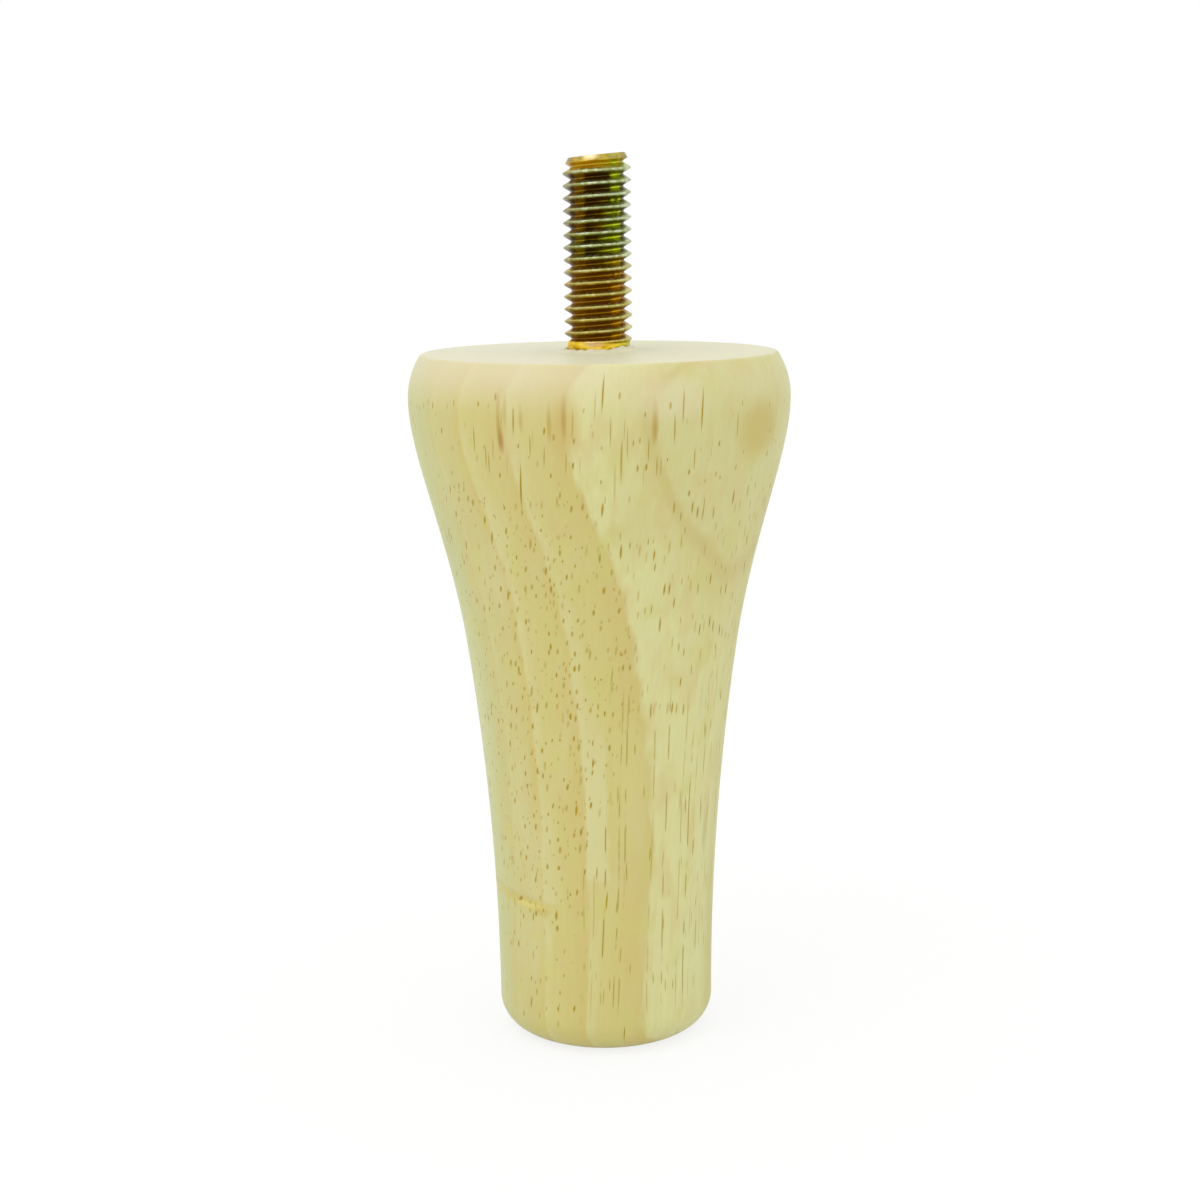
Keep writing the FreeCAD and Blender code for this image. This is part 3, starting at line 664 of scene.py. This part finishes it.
def yellow_zinc():
    """Yellow-passivated zinc: gold that turns green and brown, painted shade in grooves, painted reflections,
    bare worn crests.
    """
    zinc = bpy.data.materials.new("yellow_zinc")
    zinc.use_nodes = True
    tree = zinc.node_tree
    shader = tree.nodes["Principled BSDF"]
    place = in_millimetres(tree)
    x, y, z = split(tree, place)
    groove, flank, threaded = [add(tree, "ShaderNodeAttribute", attribute_name=name).outputs["Fac"]
                               for name in ("groove", "flank", "threaded")]

    def film(scale, detail):
        """Cloudy noise for the film, from nought to one."""
        return add(tree, "ShaderNodeTexNoise", {"Vector": place, "Scale": scale, "Detail": detail}).outputs[0]

    # The film: olive green on one side of the stud, brown towards the neck, in cloudy patches
    green_level = 94.2
    green_stretch = ease(tree, off(tree, z, green_level), 2.6, 0.8, 0.0, 0.35)
    green_side = ease(tree, x, -1.5, 3.0, 0.0, 0.6)
    greener = sums(tree, "ADD", green_side, product(tree, film(0.45, 2.0), 0.5))
    green_share = ease(tree, sums(tree, "ADD", greener, green_stretch), 0.35, 0.8)
    brown_end = ease(tree, z, 97.0, 89.5, 0.0, 0.7)
    browner = sums(tree, "ADD", brown_end, product(tree, film(0.6, 1.0), 0.3))
    brown_share = ease(tree, browner, 0.25, 0.8)
    deep = tint(tree, green_share, linear(138, 104, 12), linear(112, 108, 14))
    deep = tint(tree, brown_share, deep, linear(166, 120, 10))
    bright = tint(tree, green_share, linear(226, 190, 52), linear(206, 226, 44))
    bright = tint(tree, brown_share, bright, linear(206, 164, 28))

    # How far down from one crest to the next, from nought to one, with the root half way
    from_crest = sums(tree, "MULTIPLY_ADD", groove, 0.39, 0.05)
    under = sums(tree, "LESS_THAN", flank, 0.0)
    down = ease(tree, under, 0.0, 1.0, rest_of(tree, from_crest), from_crest, "LINEAR")

    # Painted shade darkens the film under each crest; bright bands of painted reflection run down the stud
    # and show as a streak in each groove
    bands = 4.0
    first_band = math.radians(-44)
    from_first = sums(tree, "SUBTRACT", turn_from_front(tree, x, y), first_band)
    band_turn = product(tree, from_first, bands)
    band = ease(tree, sums(tree, "COSINE", band_turn), 0.1, 0.9)
    # Around the middle of the stud the painted reflection bands widen
    lit_middle = spot(tree, place, (1.4, -2.9, 96.0), (2.6, 2.6, 6.5), 0.8)
    band = sums(tree, "MAXIMUM", band, product(tree, lit_middle, 0.7))
    # The film is painted brighter down each groove, on the flank that faces up: painted light
    colour = tint(tree, ease(tree, down, 0.35, 0.85, 0.0, 0.5), deep, bright)
    shade_under = ease(tree, down, 0.60, 0.40, 0.0, 0.72)
    shade_root = product(tree, ease(tree, brown_share, 0.0, 1.0, 0.6, 0.0), rest_of(tree, band))
    # The painted shade is mostly left out just below the cap
    below_cap = ease(tree, z, 102.8, 103.5)
    dark_kept = sums(tree, "MULTIPLY_ADD", below_cap, -0.8, 1.0)
    dark = product(tree, sums(tree, "MAXIMUM", shade_under, shade_root), dark_kept, threaded)
    colour = tint(tree, dark, colour, linear(82, 56, 7))
    # Painted shade deepens the roots, away from the bright bands
    in_root = product(tree, shade_root, ease(tree, groove, 0.8, 1.0), dark_kept, threaded)
    colour = tint(tree, in_root, colour, linear(46, 32, 5))
    streak_place = sums(tree, "MULTIPLY_ADD", x, -0.042, 0.56)
    near_streak = ease(tree, off(tree, down, streak_place), 0.13, 0.05)
    reflection_streak = product(tree, band, near_streak, ease(tree, film(1.1, 1.0), 0.3, 0.5))
    # A painted highlight lies just below the cap
    lime_highlight = spot(tree, place, (0.4, -3.1, 103.6), (1.5, 1.5, 0.5), 0.8)
    lit_below_cap = ease(tree, lime_highlight, 0.0, 1.0, 0.45, 1.0)
    reflection_streak = sums(tree, "MAXIMUM", reflection_streak, product(tree, below_cap, lit_below_cap))
    colour = tint(tree, product(tree, reflection_streak, threaded), colour, bright)

    # The plain neck is a brighter gold, the cap an olive one, and each has a pale gleam at the front
    deeper = ease(tree, film(0.9, 2.0), 0.35, 0.65)
    plain_gold = tint(tree, deeper, linear(252, 216, 74), linear(230, 186, 30))
    plain_gold = tint(tree, ease(tree, x, 1.2, 3.2, 0.0, 0.7), plain_gold, linear(196, 196, 40))
    cap = ease(tree, z, 103.9, 104.5)
    cap_gold = tint(tree, ease(tree, film(1.3, 2.0), 0.4, 0.6), linear(204, 172, 48), linear(166, 136, 24))
    # The cap's left and right sides are painted darker: painted shade
    cap_side_shade = ease(tree, sums(tree, "ABSOLUTE", x), 2.2, 3.1, 0.0, 0.6)
    plain_gold = tint(tree, cap, plain_gold, tint(tree, cap_side_shade, cap_gold, linear(122, 78, 20)))
    highlights = [
        ((-0.7, -3.3, 105.0), (1.5, 1.5, 0.6), (255, 214, 178)),
        ((-0.6, -3.6, 83.6), (1.7, 1.7, 0.6), (250, 212, 176)),
    ]
    for centre, half_sizes, shade in highlights:
        gleam = spot(tree, place, centre, half_sizes, 0.8)
        plain_gold = tint(tree, product(tree, gleam, 0.8), plain_gold, linear(*shade))
    is_plain = sums(tree, "MAXIMUM", rest_of(tree, threaded), product(tree, cap, 0.8))
    colour = tint(tree, is_plain, colour, plain_gold)

    # Worn crests and a painted reflection of the light above: a pale band, worn bright at the crest itself,
    # reaches a little way up its upper flank as painted reflection, with a sharp lower edge
    scuffs = film(2.2, 3.0)
    pale_top = ease(tree, scuffs, 0.3, 0.7, 0.23, 0.30)
    pale_low = ease(tree, flank, -0.21, -0.11)
    pale_high = ease(tree, flank, pale_top, sums(tree, "SUBTRACT", pale_top, 0.09))
    off_root = ease(tree, groove, 0.95, 0.8)
    off_cap = ease(tree, cap, 0.0, 1.0, 1.0, 0.2)
    less_at_left = ease(tree, x, -3.7, -1.6, 0.45, 1.0)
    wear_and_reflection = product(tree, pale_low, pale_high, threaded, off_root, off_cap, less_at_left, 0.9)
    patches = ease(tree, film(1.4, 2.0), 0.4, 0.65)
    pale = tint(tree, patches, linear(166, 180, 122), linear(212, 222, 194))
    pale_gold = tint(tree, patches, linear(184, 177, 98), linear(216, 213, 152))
    pale = tint(tree, brown_share, pale, pale_gold)
    colour = tint(tree, wear_and_reflection, colour, pale)
    tree.links.new(colour, shader.inputs["Base Color"])
    shader.inputs["Metallic"].default_value = 1.0
    tree.links.new(ease(tree, scuffs, 0.3, 0.7, 0.24, 0.42, "LINEAR"), shader.inputs["Roughness"])
    bump = add(tree, "ShaderNodeBump", {"Strength": 0.3, "Distance": 0.04 * MM, "Height": scuffs})
    tree.links.new(bump.outputs[0], shader.inputs["Normal"])
    return zinc


def hanger_bolt():
    """Stand the stud on the neck, hang the wood screw under it, and weld the two at the neck."""
    stud = {
        "Length": bolt_high[2] - neck_middle,
        "Pitch": 1.411 * MM,
        "Thread start": 0.875,
        "Crest radius": crest_radius,
        "Root radius": 3.08 * MM,
        "Crest share": 0.10,
        "Root share": 0.12,
        "Neck radius": neck_radius,
        "Neck lumps": 0.5 * MM,
        "Neck length": leg_height + 1.0 * MM - neck_middle,
        "Run-out": 0.7 * MM,
        "End radius": 3.3 * MM,
        "End slant": 0.6 * MM,
        "Taper length": 1.3 * MM,
    }
    screw = {
        "Length": neck_middle - bolt_low[2],
        "Pitch": 2.822 * MM,
        "Thread start": 0.875,
        "Crest radius": crest_radius,
        "Root radius": 2.75 * MM,
        "Crest share": 0.0625,
        "Root share": 0.4375,
        "Neck radius": neck_radius,
        "Neck lumps": 0.0,
        "Neck length": 2.2 * MM,
        "Run-out": 2.0 * MM,
        "End radius": 0.1 * MM,
        "End slant": 0.0,
        "Taper length": 6.0 * MM,
    }
    ends = {"Stud": stud, "Screw": screw}
    rows_a_turn = {"Stud": 24, "Screw": 32}
    columns = 96
    sizes = {"Neck level": neck_middle}
    for end, part in ends.items():
        sizes.update({f"{end} {name.lower()}": value for name, value in part.items()})
    tree, size = new_tree("hanger_bolt", sizes)
    joined = add(tree, "GeometryNodeJoinGeometry")
    for end, part in ends.items():
        own = {name: size[f"{end} {name.lower()}"] for name in part}
        turns = math.ceil(part["Length"] / part["Pitch"])
        shape = threaded_end(tree, own, rows_a_turn[end], columns, turns)
        half_turn = (math.pi, 0.0, 0.0) if end == "Screw" else (0.0, 0.0, 0.0)
        stood = add(tree, "GeometryNodeTransform",
                    {"Geometry": shape, "Translation": point(tree, 0.0, 0.0, size["Neck level"]),
                     "Rotation": half_turn})
        tree.links.new(stood.outputs[0], joined.inputs[0])
    finish_tree(tree, joined.outputs[0], yellow_zinc())
    return run_tree("hanger_bolt_visual", tree, sizes)


bolt = hanger_bolt()
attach(bolt, "root")
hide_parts("hanger_bolt")


# Floor and studio light
# A flat white floor that shows as white paper and keeps a soft shadow, under an even dome of light and one
# broad soft lamp at the upper left.

floor_reach = 3.0
corners = [(-floor_reach, -floor_reach, 0), (floor_reach, -floor_reach, 0),
           (floor_reach, floor_reach, 0), (-floor_reach, floor_reach, 0)]
floor_mesh = bpy.data.meshes.new("floor")
floor_mesh.from_pydata(corners, [], [(0, 1, 2, 3)])
floor = bpy.data.objects.new("floor", floor_mesh)
bpy.context.scene.collection.objects.link(floor)


def seen_directly(tree):
    """One for what the camera, a reflection or glass sees, and nought for what only lights the object."""
    path = add(tree, "ShaderNodeLightPath").outputs
    seen = sums(tree, "MAXIMUM", path["Is Camera Ray"], path["Is Glossy Ray"])
    return sums(tree, "MAXIMUM", seen, path["Is Transmission Ray"])


paper = bpy.data.materials.new("white_paper")
paper.use_nodes = True
paper_tree = paper.node_tree
paper_matt = add(paper_tree, "ShaderNodeBsdfDiffuse", {"Color": (0.85, 0.85, 0.85, 1.0)})
paper_white = add(paper_tree, "ShaderNodeEmission", {"Color": (1.0, 1.0, 1.0, 1.0), "Strength": 1.02})
paper_share = product(paper_tree, seen_directly(paper_tree), 0.8)
paper_mix = add(paper_tree, "ShaderNodeMixShader",
                {0: paper_share, 1: paper_matt.outputs[0], 2: paper_white.outputs[0]})
paper_end = paper_tree.nodes["Material Output"]
paper_tree.links.new(paper_mix.outputs[0], paper_end.inputs["Surface"])
floor_mesh.materials.append(paper)

world = bpy.data.worlds.new("studio")
bpy.context.scene.world = world
world.use_nodes = True
sky = world.node_tree
dome_low = 0.81
dome_high = 1.24
direction = add(sky, "ShaderNodeTexCoord").outputs["Generated"]
_, _, upwards = split(sky, direction)
dome_level = ease(sky, upwards, 0.2, 1.0, dome_low, dome_high)
sky_strength = ease(sky, seen_directly(sky), 0.0, 1.0, dome_level, 1.0, "LINEAR")
background = sky.nodes["Background"]
background.inputs["Color"].default_value = (1.0, 1.0, 1.0, 1.0)
sky.links.new(sky_strength, background.inputs["Strength"])

key = bpy.data.lights.new("soft_key", "AREA")
key.shape = "DISK"
key.size = 0.5
key.energy = 0.7
key_lamp = bpy.data.objects.new("soft_key", key)
key_lamp.location = (-0.30, -0.34, 0.66)
key_target = Vector((0, 0, 0.05))
key_lamp.rotation_euler = (key_target - key_lamp.location).to_track_quat("-Z", "Y").to_euler()
bpy.context.scene.collection.objects.link(key_lamp)


# Camera
# It stands close, a little above the top face, and looks slightly down. It is rolled by under a degree, as
# the picture is.

camera_data = bpy.data.cameras.new("camera")
camera_data.sensor_width = 36.0
camera_data.lens = 65.07
camera_data.clip_start = 0.01
camera = bpy.data.objects.new("camera", camera_data)
look_down = 10.296
pitch = math.radians(90.0 - look_down)
roll = math.radians(-0.68)
camera_turn = Euler((pitch, 0.0, 0.0)).to_matrix() @ Matrix.Rotation(roll, 3, "Z")
camera.location = (-0.2 * MM, -256.0 * MM, 99.3 * MM)
camera.rotation_euler = camera_turn.to_euler()
bpy.context.scene.collection.objects.link(camera)
bpy.context.scene.camera = camera
bpy.context.scene.view_settings.view_transform = "Standard"
